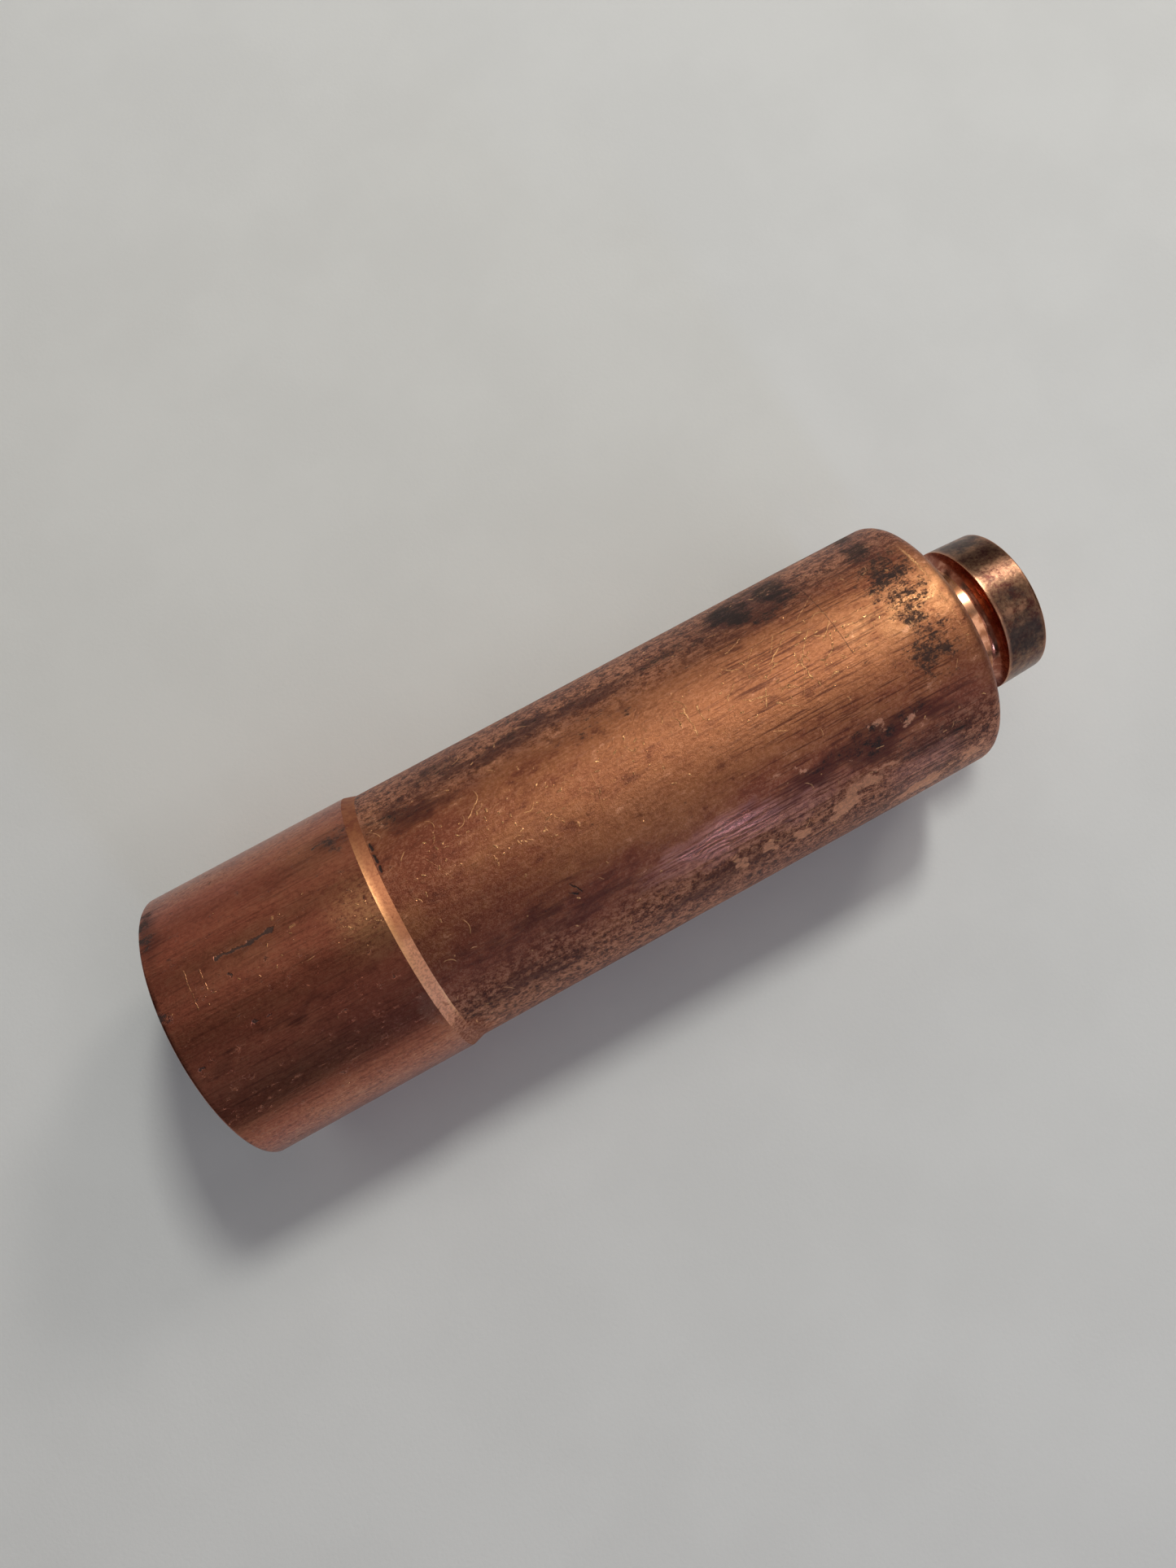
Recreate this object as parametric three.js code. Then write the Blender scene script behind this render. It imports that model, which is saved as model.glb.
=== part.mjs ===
// A brazed copper reducing sleeve. A wide socket, a long barrel with a drawn shoulder, a short neck
// and a nose collar share one axis, and a ring of brazing filler closes each of the three joints.
// Units are millimetres. +X runs along the axis from the mouth to the nose, and +Z is up, with the
// sleeve lying on its side: the origin is under the middle of its length, on the surface it lies on.

import * as THREE from 'three';

// Driving dimensions. A station is a distance along the axis from the mouth.
const OVERALL_LENGTH = 116.7;
const SOCKET_RADIUS = 18.0;
const BARREL_RADIUS = 17.5;
const NECK_RADIUS = 8.75;
const COLLAR_ROOT_RADIUS = 10.25;
const COLLAR_NOSE_RADIUS = 9.95;

const SOCKET_END = 27.3; // where the socket stops and its filler starts
const BARREL_START = 28.9; // where the barrel's full diameter starts
const SHOULDER_FACE = 104.8; // the flat face round the neck
const COLLAR_START = 110.8;

const SOCKET_BORE_RADIUS = 16.7;
const SPIGOT_RADIUS = 16.4; // the barrel's turned-down end, which fits inside the socket
const SPIGOT_REACH = 8.0; // how far the spigot goes into the socket
const BARREL_BORE_RADIUS = 15.2;
const END_WALL = 2.5; // the barrel's wall behind the shoulder's face
const NECK_BORE_RADIUS = 7.0;
const FLANGE_RADIUS = 11.0; // the neck's flange, which bears on the inside of the end wall
const FLANGE_THICKNESS = 1.3;

// Small edges and clearances.
const JOINT_GAP = 0.3; // between any two neighbouring pieces
const SHOULDER_ROUNDING = 1.7;
const INNER_ROUNDING = 1.2;
const RIM_ROUNDING = 0.35;
const EDGE_BREAK = 0.3;
const FILLER_EDGE = 0.2; // how thin a fillet of filler gets
const NECK_FILLET = 1.2; // the reach of the fillet at the foot of the neck
const COLLAR_FILLET = 1.1; // the reach of the fillet behind the collar

// Flats round the axis: an even number, turned so that the sleeve lies on one of them.
const FLATS = 64;
const HALF_FLAT = Math.PI / FLATS;
const AXIS_HEIGHT = SOCKET_RADIUS * Math.cos(HALF_FLAT);
const ARC_STEPS = 5;

const copper = {
  dullRed: new THREE.MeshStandardMaterial({ color: 0x7a4230, roughness: 0.45, metalness: 1 }),
  golden: new THREE.MeshStandardMaterial({ color: 0x8a5238, roughness: 0.42, metalness: 1 }),
  polished: new THREE.MeshStandardMaterial({ color: 0xc0744e, roughness: 0.15, metalness: 1 }),
  sooted: new THREE.MeshStandardMaterial({ color: 0x5a4236, roughness: 0.4, metalness: 1 }),
  filler: new THREE.MeshStandardMaterial({ color: 0xd08a64, roughness: 0.25, metalness: 1 }),
};

// Points along a round edge, as [station, radius]. Angles are in degrees: 0 points to the nose, and
// 90 points away from the axis.
function arc(centreStation, centreRadius, size, fromAngle, toAngle) {
  const points = [];
  for (let step = 0; step <= ARC_STEPS; step += 1) {
    const angle = THREE.MathUtils.degToRad(fromAngle + ((toAngle - fromAngle) * step) / ARC_STEPS);
    points.push([centreStation + size * Math.cos(angle), centreRadius + size * Math.sin(angle)]);
  }
  return points;
}

// Turns a section about the axis, which it lays along +X. The section is a closed outline of
// [station, radius] points, and runs clockwise when the station is across and the radius is up.
function turned(name, section, material) {
  const profile = section.map(([station, radius]) => new THREE.Vector2(radius, station));
  profile.push(profile[0].clone());
  const mesh = new THREE.Mesh(new THREE.LatheGeometry(profile, FLATS, HALF_FLAT), material);
  mesh.name = name;
  mesh.rotation.z = -Math.PI / 2;
  return mesh;
}

// The wide end: a plain tube, which slips over the barrel's spigot.
function makeMouthSocket() {
  const end = SOCKET_END - JOINT_GAP;
  const section = [
    [EDGE_BREAK, SOCKET_BORE_RADIUS],
    [0, SOCKET_BORE_RADIUS + EDGE_BREAK],
    ...arc(RIM_ROUNDING, SOCKET_RADIUS - RIM_ROUNDING, RIM_ROUNDING, 180, 90),
    [end, SOCKET_RADIUS],
    [end, SOCKET_BORE_RADIUS],
  ];
  return turned('mouth_socket', section, copper.dullRed);
}

// The filler between the end of the socket and the barrel: a narrow cone at the step in diameter.
function makeSocketFiller() {
  const end = BARREL_START - JOINT_GAP;
  const section = [
    [SOCKET_END, SOCKET_BORE_RADIUS],
    [SOCKET_END, SOCKET_RADIUS],
    [end, BARREL_RADIUS],
    [end, SOCKET_BORE_RADIUS],
  ];
  return turned('socket_braze_ring', section, copper.filler);
}

// The long barrel: spigot, tube, rounded shoulder, and an end wall with a hole for the neck.
function makeBarrelShell() {
  const spigotEnd = SOCKET_END - SPIGOT_REACH;
  const wallInside = SHOULDER_FACE - END_WALL;
  const holeRadius = NECK_RADIUS + JOINT_GAP;
  const section = [
    [spigotEnd + EDGE_BREAK, BARREL_BORE_RADIUS],
    [spigotEnd, BARREL_BORE_RADIUS + EDGE_BREAK],
    [spigotEnd, SPIGOT_RADIUS - EDGE_BREAK],
    [spigotEnd + EDGE_BREAK, SPIGOT_RADIUS],
    [BARREL_START, SPIGOT_RADIUS],
    [BARREL_START, BARREL_RADIUS],
    ...arc(SHOULDER_FACE - SHOULDER_ROUNDING, BARREL_RADIUS - SHOULDER_ROUNDING,
      SHOULDER_ROUNDING, 90, 0),
    [SHOULDER_FACE, holeRadius],
    [wallInside, holeRadius],
    ...arc(wallInside - INNER_ROUNDING, BARREL_BORE_RADIUS - INNER_ROUNDING, INNER_ROUNDING, 0, 90),
  ];
  return turned('barrel_shell', section, copper.golden);
}

// The neck: a flanged tube, put through the end wall from inside and running on to the nose.
function makeNeckTube() {
  const flangeFace = SHOULDER_FACE - END_WALL - JOINT_GAP;
  const start = flangeFace - FLANGE_THICKNESS;
  const section = [
    [start + EDGE_BREAK, NECK_BORE_RADIUS],
    [start, NECK_BORE_RADIUS + EDGE_BREAK],
    [start, FLANGE_RADIUS],
    [flangeFace, FLANGE_RADIUS],
    [flangeFace, NECK_RADIUS],
    [OVERALL_LENGTH, NECK_RADIUS],
    [OVERALL_LENGTH, NECK_BORE_RADIUS + EDGE_BREAK],
    [OVERALL_LENGTH - EDGE_BREAK, NECK_BORE_RADIUS],
  ];
  return turned('neck_tube', section, copper.polished);
}

// The filler at the foot of the neck: a ring with a hollow face, against the shoulder.
function makeNeckFiller() {
  const inner = NECK_RADIUS + JOINT_GAP;
  const foot = SHOULDER_FACE + JOINT_GAP;
  const section = [
    [foot, inner],
    ...arc(foot + NECK_FILLET, inner + FILLER_EDGE + NECK_FILLET, NECK_FILLET, 180, 270),
    [foot + NECK_FILLET, inner],
  ];
  return turned('neck_braze_ring', section, copper.filler);
}

// The filler behind the collar: a ring with a hollow face, rising to the collar's edge.
function makeCollarFiller() {
  const inner = NECK_RADIUS + JOINT_GAP;
  const foot = COLLAR_START - JOINT_GAP;
  const section = [
    [foot - COLLAR_FILLET, inner],
    ...arc(foot - COLLAR_FILLET, COLLAR_ROOT_RADIUS, COLLAR_FILLET, 270, 360),
    [foot, inner],
  ];
  return turned('collar_braze_ring', section, copper.filler);
}

// The nose collar: a ring on the end of the neck, a little wider at its root.
function makeNoseCollar() {
  const inner = NECK_RADIUS + JOINT_GAP;
  const section = [
    [COLLAR_START, inner],
    [COLLAR_START, COLLAR_ROOT_RADIUS],
    [OVERALL_LENGTH - EDGE_BREAK, COLLAR_NOSE_RADIUS],
    [OVERALL_LENGTH, COLLAR_NOSE_RADIUS - EDGE_BREAK],
    [OVERALL_LENGTH, inner],
  ];
  return turned('nose_collar', section, copper.sooted);
}

const reducer = new THREE.Group();
reducer.add(
  makeMouthSocket(),
  makeSocketFiller(),
  makeBarrelShell(),
  makeNeckTube(),
  makeNeckFiller(),
  makeCollarFiller(),
  makeNoseCollar(),
);
reducer.position.set(-OVERALL_LENGTH / 2, 0, AXIS_HEIGHT);

export default reducer;
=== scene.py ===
import math
import random

import bpy
import numpy as np
from mathutils import Matrix, Vector, noise


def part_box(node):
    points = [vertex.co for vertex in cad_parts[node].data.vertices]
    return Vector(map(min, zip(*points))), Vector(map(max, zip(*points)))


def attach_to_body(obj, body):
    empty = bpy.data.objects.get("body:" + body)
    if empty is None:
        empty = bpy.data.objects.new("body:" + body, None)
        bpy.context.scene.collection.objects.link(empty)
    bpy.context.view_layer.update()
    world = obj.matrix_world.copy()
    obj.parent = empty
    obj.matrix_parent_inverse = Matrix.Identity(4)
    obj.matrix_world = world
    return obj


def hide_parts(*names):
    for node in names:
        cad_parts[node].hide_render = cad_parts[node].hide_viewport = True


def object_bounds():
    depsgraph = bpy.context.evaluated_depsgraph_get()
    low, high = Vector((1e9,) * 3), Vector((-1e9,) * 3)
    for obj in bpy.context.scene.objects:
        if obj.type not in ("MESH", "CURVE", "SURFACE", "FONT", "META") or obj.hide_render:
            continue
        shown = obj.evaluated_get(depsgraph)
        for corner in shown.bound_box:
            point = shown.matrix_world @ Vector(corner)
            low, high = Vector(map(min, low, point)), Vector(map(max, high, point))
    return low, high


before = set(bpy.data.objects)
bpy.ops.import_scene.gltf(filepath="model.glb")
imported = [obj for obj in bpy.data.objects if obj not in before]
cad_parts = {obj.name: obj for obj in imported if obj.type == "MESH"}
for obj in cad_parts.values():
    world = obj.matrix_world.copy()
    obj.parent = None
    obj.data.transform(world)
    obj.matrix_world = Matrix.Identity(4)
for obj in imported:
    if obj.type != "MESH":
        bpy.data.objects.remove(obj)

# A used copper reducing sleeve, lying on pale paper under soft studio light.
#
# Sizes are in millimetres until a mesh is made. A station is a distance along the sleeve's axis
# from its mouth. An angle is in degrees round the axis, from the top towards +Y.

CAD_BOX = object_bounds()
MM = 0.001
JOINT_GAP = 0.3


# ---------------------------------------------------------------------------------------------
# Sizes, from the frame
# ---------------------------------------------------------------------------------------------

MOUTH_X = CAD_BOX[0][0]
AXIS_Z = (CAD_BOX[0][2] + CAD_BOX[1][2]) / 2
LENGTH = (CAD_BOX[1][0] - CAD_BOX[0][0]) / MM


def stations(node):
    """Where a CAD node starts and ends along the axis."""
    low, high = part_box(node)
    return (low.x - MOUTH_X) / MM, (high.x - MOUTH_X) / MM


def outer_radius(node):
    """The radius of a CAD node across its flats."""
    low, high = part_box(node)
    return (high.z - low.z) / 2 / MM


SOCKET_RADIUS = outer_radius("mouth_socket")
BARREL_RADIUS = outer_radius("barrel_shell")
NECK_RADIUS = BARREL_RADIUS / 2
COLLAR_RADIUS = outer_radius("nose_collar")
FLANGE_RADIUS = outer_radius("neck_tube")

STEP_START, STEP_END = stations("socket_braze_ring")
BARREL_START = STEP_END + JOINT_GAP
SPIGOT_END, SHOULDER_FACE = stations("barrel_shell")
FLANGE_START = stations("neck_tube")[0]
COLLAR_START = stations("nose_collar")[0]
FILLET_START = stations("collar_braze_ring")[0]

SOCKET_WALL = 1.3
SPIGOT_WALL = 1.2
END_WALL = 2.5
NECK_BORE_RADIUS = 7.0
SHOULDER_ROUNDING = 1.7
INNER_ROUNDING = 1.2
SHOULDER_TAPER = 0.12
TAPER_LENGTH = 14.0
NECK_FILLET = 1.2
FILLER_THICKNESS = 0.2
COLLAR_TAPER = 0.3
COLLAR_FILLER_DROP = 0.05
SPIGOT_PLAY = 0.02
SOCKET_BORE_RADIUS = SOCKET_RADIUS - SOCKET_WALL
SPIGOT_RADIUS = SOCKET_BORE_RADIUS - SPIGOT_PLAY
BARREL_BORE_RADIUS = SOCKET_BORE_RADIUS - SPIGOT_WALL


# ---------------------------------------------------------------------------------------------
# Turned pieces
# ---------------------------------------------------------------------------------------------

SEGMENTS = 360
FINE_PITCH = 0.45
COARSE_PITCH = 2.0
CORNER_STEPS = 6
FILLET_STEPS = 10
SHARP_ANGLE = 50


def rounded_corner(before, corner, after, size):
    """Points round a corner of an outline, as an arc that touches both of its sides."""
    corner = np.array(corner)
    back = np.array(before) - corner
    ahead = np.array(after) - corner
    back /= np.linalg.norm(back)
    ahead /= np.linalg.norm(ahead)
    half_angle = math.acos(float(np.clip(back @ ahead, -1, 1))) / 2
    inward = (back + ahead) / np.linalg.norm(back + ahead)
    centre = corner + inward * size / math.sin(half_angle)
    reach = size / math.tan(half_angle)
    start = corner + back * reach - centre
    end = corner + ahead * reach - centre
    turn = math.atan2(start[0] * end[1] - start[1] * end[0], start @ end)
    points = []
    for step in range(CORNER_STEPS + 1):
        angle = turn * step / CORNER_STEPS
        cos, sin = math.cos(angle), math.sin(angle)
        points.append(centre + [cos * start[0] - sin * start[1], sin * start[0] + cos * start[1]])
    return points


def dense_outline(corners):
    """A closed outline of (station, radius) points, from corners of (station, radius, rounding).

    It runs clockwise with the station across and the radius up, so a run towards the nose is on
    the outside of the piece. Those runs are divided finely, and the others coarsely."""
    count = len(corners)
    bends = []
    for i, (station, radius, rounding) in enumerate(corners):
        before, after = corners[i - 1][:2], corners[(i + 1) % count][:2]
        if rounding > 0:
            bends.append(rounded_corner(before, (station, radius), after, rounding))
        else:
            bends.append([np.array((station, radius))])
    points = []
    for i, bend in enumerate(bends):
        points.extend(bend)
        start, end = bend[-1], bends[(i + 1) % count][0]
        outside = end[0] > start[0] + 0.01
        pitch = FINE_PITCH if outside else COARSE_PITCH
        parts = max(1, math.ceil(np.linalg.norm(end - start) / pitch))
        points.extend(start + (end - start) * part / parts for part in range(1, parts))
    return np.array(points)


def outline_normals(outline):
    """The outward direction at each point of a clockwise outline."""
    along = np.roll(outline, -1, axis=0) - np.roll(outline, 1, axis=0)
    normals = np.stack([-along[:, 1], along[:, 0]], axis=1)
    return normals / np.linalg.norm(normals, axis=1, keepdims=True)


def turned_piece(name, corners, material, relief=None, wear=None):
    """Turns an outline about the axis. relief(station, angle) is how far the outside sinks, and
    wear(station, angle, outward) gives named numbers from 0 to 1 for the material to read, which
    are wear, and on some pieces painted highlights too. outward is 1 on the outside, 0 on an end
    face and -1 in the bore."""
    outline = dense_outline(corners)
    normals = outline_normals(outline)
    rings = len(outline)
    turn = np.arange(SEGMENTS) / SEGMENTS * 2 * math.pi
    station = np.repeat(outline[:, 0], SEGMENTS)
    radius = np.repeat(outline[:, 1], SEGMENTS)
    angle = np.tile(turn, rings)
    degrees = (np.degrees(angle) + 180) % 360 - 180
    outward = np.repeat(normals[:, 1], SEGMENTS)
    if relief:
        radius = radius - relief(station, degrees) * np.clip(3 * outward, 0, 1)
    points = np.stack([MOUTH_X + station * MM, radius * np.sin(angle) * MM,
                       AXIS_Z + radius * np.cos(angle) * MM], axis=1)

    ring = np.arange(rings)[:, None]
    column = np.arange(SEGMENTS)[None, :]
    next_ring = (ring + 1) % rings
    next_column = (column + 1) % SEGMENTS
    faces = np.stack([ring * SEGMENTS + column, ring * SEGMENTS + next_column,
                      next_ring * SEGMENTS + next_column, next_ring * SEGMENTS + column], axis=-1)
    mesh = bpy.data.meshes.new(name)
    mesh.from_pydata(points.tolist(), [], faces.reshape(-1, 4).tolist())
    mesh.shade_smooth()
    mesh.set_sharp_from_angle(angle=math.radians(SHARP_ANGLE))
    if wear:
        for label, values in wear(station, degrees, outward).items():
            attribute = mesh.attributes.new(label, "FLOAT", "POINT")
            attribute.data.foreach_set("value", np.clip(values, 0, 1).astype(np.float32))
    mesh.materials.append(material)
    piece = bpy.data.objects.new(name, mesh)
    bpy.context.scene.collection.objects.link(piece)
    return piece


# ---------------------------------------------------------------------------------------------
# Wear and painted highlights, as numbers spread over the surface
# ---------------------------------------------------------------------------------------------

def cloud(station, degrees, size, stretch=1.0, seed=0.0):
    """Smooth noise from -1 to 1 in lumps of the given size, drawn out along the axis by stretch."""
    angle = np.radians(degrees)
    across = BARREL_RADIUS / size
    points = np.stack([station / size / stretch + seed, np.sin(angle) * across + seed * 1.7,
                       np.cos(angle) * across - seed], axis=1)
    return np.array([noise.noise(point) for point in points])


def around(degrees, at):
    """How many degrees round from an angle, from -180 to 180."""
    return (degrees - at + 180) % 360 - 180


def bump(value, middle, reach):
    """1 at the middle, falling smoothly to 0 at the given reach on both sides."""
    return np.clip(1 - ((value - middle) / reach) ** 2, 0, 1) ** 2


def shade(value, low, high):
    """Rises smoothly from 0 at low to 1 at high. low may be above high."""
    share = np.clip((value - low) / (high - low), 0, 1)
    return share * share * (3 - 2 * share)


PLAIN_GRAIN = 0.2  # what the grain number is where the surface is neither coarse nor smooth


class Wander:
    """The surface's own coordinates, pushed about a little so that no patch has a plain edge."""

    def __init__(self, station, degrees):
        push = [cloud(station, degrees, size, seed=seed)
                for size, seed in ((4.0, 31.0), (4.0, 37.0), (1.5, 41.0), (1.5, 43.0))]
        self.station = station + 1.6 * push[0] + 0.9 * push[2]
        self.degrees = degrees + 5.0 * push[1] + 3.0 * push[3]

    def patches(self, places):
        """The share of the surface that is covered by places: (station, angle, half the length,
        half the width in degrees, share at the middle)."""
        cover = np.zeros_like(self.station)
        for at_station, at_angle, half_length, half_width, share in places:
            away = around(self.degrees, at_angle)
            distance = np.hypot((self.station - at_station) / half_length, away / half_width)
            cover = np.maximum(cover, share * np.clip(1.4 * (1 - distance), 0, 1))
        return cover


def scattered(seed, count, low, high, length, width, share):
    """Random places round the sleeve's underside, from the middle of one side to the other's."""
    rng = random.Random(seed)
    return [(rng.uniform(low, high), rng.uniform(85, 275), rng.uniform(0.5, 1) * length,
             rng.uniform(0.5, 1) * width, rng.uniform(0.6, 1) * share) for _ in range(count)]


def dents(station, degrees, places):
    """The depth of round dents. A place is (station, angle, radius, depth)."""
    depth = np.zeros_like(station)
    for at_station, at_angle, radius, deepest in places:
        away = np.radians(around(degrees, at_angle)) * BARREL_RADIUS
        distance = np.hypot(station - at_station, away) / radius
        depth += deepest * np.clip(1 - distance ** 2, 0, 1) ** 2
    return depth


def body_dents():
    """Small knocks all round the sleeve."""
    rng = random.Random(11)
    return [(rng.uniform(3, 101), rng.uniform(-180, 180), rng.uniform(0.7, 2.4),
             rng.uniform(0.01, 0.04)) for _ in range(110)]


BODY_DENTS = body_dents()
CRUST_PLACES = [(29.0, -66, 3.4, 18, 1.0), (28.4, 150, 3.5, 34, 0.8), (28.6, -118, 2.5, 20, 0.7)]


def body_relief(station, degrees):
    """The sleeve's outside is a little out of true, with knocks in it and a crust at the step."""
    waves = 0.022 * (1 + cloud(station, degrees, 14.0, 1.6, seed=3.0))
    ripple_and_pink_highlight = 0.006 * (1 + cloud(station, degrees, 3.5, 1.5, seed=8.0))
    crust = Wander(station, degrees).patches(CRUST_PLACES) * shade(station, 27.8, 28.6)
    lumps = 0.22 * crust * np.clip(0.4 + 1.6 * cloud(station, degrees, 1.0, seed=15.0), 0, 1)
    return waves + ripple_and_pink_highlight + dents(station, degrees, BODY_DENTS) - lumps


SOOT_PLACES = [
    (81.0, 52, 4.4, 21, 0.74), (83.5, 41, 5.0, 7, 0.5), (87.0, 52, 3.8, 19, 0.68),
    (84.0, 62, 8.0, 10, 0.45), (99.0, 20, 4.6, 62, 0.52), (98.8, 48, 3.2, 18, 0.62),
    (99.4, 27, 3.0, 12, 0.6), (99.0, 6, 3.4, 16, 0.54), (97.8, -10, 5.0, 12, 0.52),
    (97.6, -48, 4.6, 20, 0.36), (92.0, -46, 7.0, 14, 0.3), (73.0, 47, 9.0, 9, 0.42),
    (52.0, 46, 18.0, 9, 0.33), (33.0, 38, 6.0, 10, 0.36), (100.2, 74, 3.4, 24, 0.6),
    (60.0, 30, 8.0, 6, 0.3), (86.0, -29, 12.0, 8, 0.42), (40.0, 52, 9.0, 10, 0.42),
    (94.0, 34, 5.0, 9, 0.3),
]
TARNISH_PLACES = [
    (86.0, -31, 17, 9, 1.0), (95.0, -47, 9, 15, 0.5), (72.0, -34, 9, 7, 0.5),
    (52.0, 44, 28, 10, 0.8), (82.0, 46, 13, 16, 0.75), (45.0, -32, 24, 18, 0.5),
    (36.0, 36, 9, 12, 0.7), (78.0, 36, 12, 8, 0.5), (93.0, -68, 14, 12, 0.5),
    (60.0, 34, 14, 10, 0.4), (64.0, -56, 16, 12, 0.6), (38.0, -52, 12, 12, 0.65),
]
WORN_PLACES = [
    (82.0, -52, 3.6, 8, 0.95), (93.5, -69, 6.5, 6, 1.0), (67.2, -54, 2.4, 5, 1.0),
    (71.0, -54, 2.0, 5, 1.0), (75.5, -55, 1.9, 4, 1.0), (85.3, -49, 1.8, 8, 0.95),
    (78.3, -25, 1.1, 2, 0.7), (88.8, -25, 1.4, 3, 0.75), (92.5, -31, 2.0, 3, 0.5),
    (87.5, -42, 3.0, 3, 0.65), (86.7, 52, 2.2, 5, 0.6), (95.0, 68, 4.0, 6, 0.6),
    (30.0, -70, 3.0, 10, 0.6), (100.0, -66, 4.0, 10, 0.5),
]
NICK_PLACES = [
    (41.0, 11, 12, 15, 1.0), (36.0, 13, 6, 9, 1.0), (56.0, 9, 17, 13, 1.0), (46.0, 1, 9, 8, 0.9),
    (82.0, 12, 16, 16, 1.0), (97.0, 12, 8, 12, 0.8), (68.0, 12, 12, 13, 1.0), (84.0, 14, 10, 16, 0.9),
]
# Rippled patches on the underside, which also get a painted pink highlight.
RIPPLE_AND_HIGHLIGHT_PLACES = [(67.0, -38, 13, 12, 1.0), (76.0, -41, 8, 9, 0.6), (93.0, -54, 7, 14, 0.6)]
SHOULDER_EDGE = 102.75


def body_wear_and_highlights(station, degrees, outward):
    """What is on the barrel: soot, dark tarnish, bare patches, nicks, coarse grain, ripples, a golden
    top that is partly a painted highlight, a painted pink highlight on the ripples, and a shoulder
    edge and rubbed spot that are worn and painted brighter along the top as a highlight."""
    wander = Wander(station, degrees)
    inside = np.clip(-2 * outward, 0, 1)
    side = around(degrees, -2)
    rough = np.clip((np.abs(side) - 30) / 18, 0, 1) + 0.35 * cloud(station, degrees, 8.0, seed=5.0)
    edge = bump(station, SHOULDER_EDGE, 0.45) + 0.5 * bump(station, SHOULDER_FACE, 0.5)
    # The worn shoulder edge is painted brighter towards the top, as a highlight.
    edge *= 0.45 + 0.55 * bump(side, 16, 45)
    return {
        "soot": wander.patches(SOOT_PLACES + scattered(21, 14, 32, 102, 5, 18, 0.7)) * (1 - inside),
        "tarnish": np.maximum(
            wander.patches(TARNISH_PLACES + scattered(22, 14, 32, 100, 14, 24, 0.8)), inside),
        "worn": wander.patches(WORN_PLACES + scattered(23, 18, 32, 102, 5, 12, 0.7)) * (1 - inside),
        "nicked": 0.12 + wander.patches(NICK_PLACES + scattered(24, 10, 32, 102, 12, 24, 0.8)),
        "grain": PLAIN_GRAIN + (1 - PLAIN_GRAIN) * rough,
        "lined": 0.25 + 0.75 * shade(station, 66, 78) * (1 - shade(station, 99, 103)),
        # golden: lighter along the top and towards the nose, partly patina and partly a painted
        # highlight where the key light falls.
        "golden": bump(around(degrees, 12), 0, 44) * shade(station, 30, 75),
        # rubbed: a smoother spot near the top of the shoulder, painted bright gold as a highlight where
        # the key light's reflection is strongest.
        "rubbed_and_highlight": bump(station, 99, 14) * bump(around(degrees, 11), 0, 18),
        # ripple: rippled patches, smoother and wavy, with a painted pink highlight where the low
        # window's reflection falls.
        "ripple_and_pink_highlight": wander.patches(RIPPLE_AND_HIGHLIGHT_PLACES),
        "crust": wander.patches(CRUST_PLACES),
        "edge": edge * (0.75 + 0.5 * cloud(station, degrees, 5.0, seed=19.0)),
    }


# ---------------------------------------------------------------------------------------------
# Shader building
# ---------------------------------------------------------------------------------------------

SHARE_WEIGHT = 1.5
NOISE_WEIGHT = 5.0


class Signal:
    """A number that varies over a surface, which can be worked with like any other number."""

    def __init__(self, shader, socket):
        self.shader = shader
        self.socket = socket

    def __add__(self, other):
        return self.shader.math("ADD", self, other)

    def __sub__(self, other):
        return self.shader.math("SUBTRACT", self, other)

    def __rsub__(self, other):
        return self.shader.math("SUBTRACT", other, self)

    def __mul__(self, other):
        return self.shader.math("MULTIPLY", self, other)

    def __truediv__(self, other):
        return self.shader.math("DIVIDE", self, other)

    __radd__ = __add__
    __rmul__ = __mul__

    def size(self):
        return self.shader.math("ABSOLUTE", self)

    def most(self, other):
        return self.shader.math("MAXIMUM", self, other)

    def ramp(self, low, high):
        """Rises smoothly from 0 at low to 1 at high. low may be above high."""
        node = self.shader.node("ShaderNodeMapRange", interpolation_type="SMOOTHSTEP")
        falls = low > high
        self.shader.feed(node.inputs["Value"], self)
        node.inputs["From Min"].default_value = min(low, high)
        node.inputs["From Max"].default_value = max(low, high)
        node.inputs["To Min"].default_value = 1.0 if falls else 0.0
        node.inputs["To Max"].default_value = 0.0 if falls else 1.0
        return Signal(self.shader, node.outputs["Result"])


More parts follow.
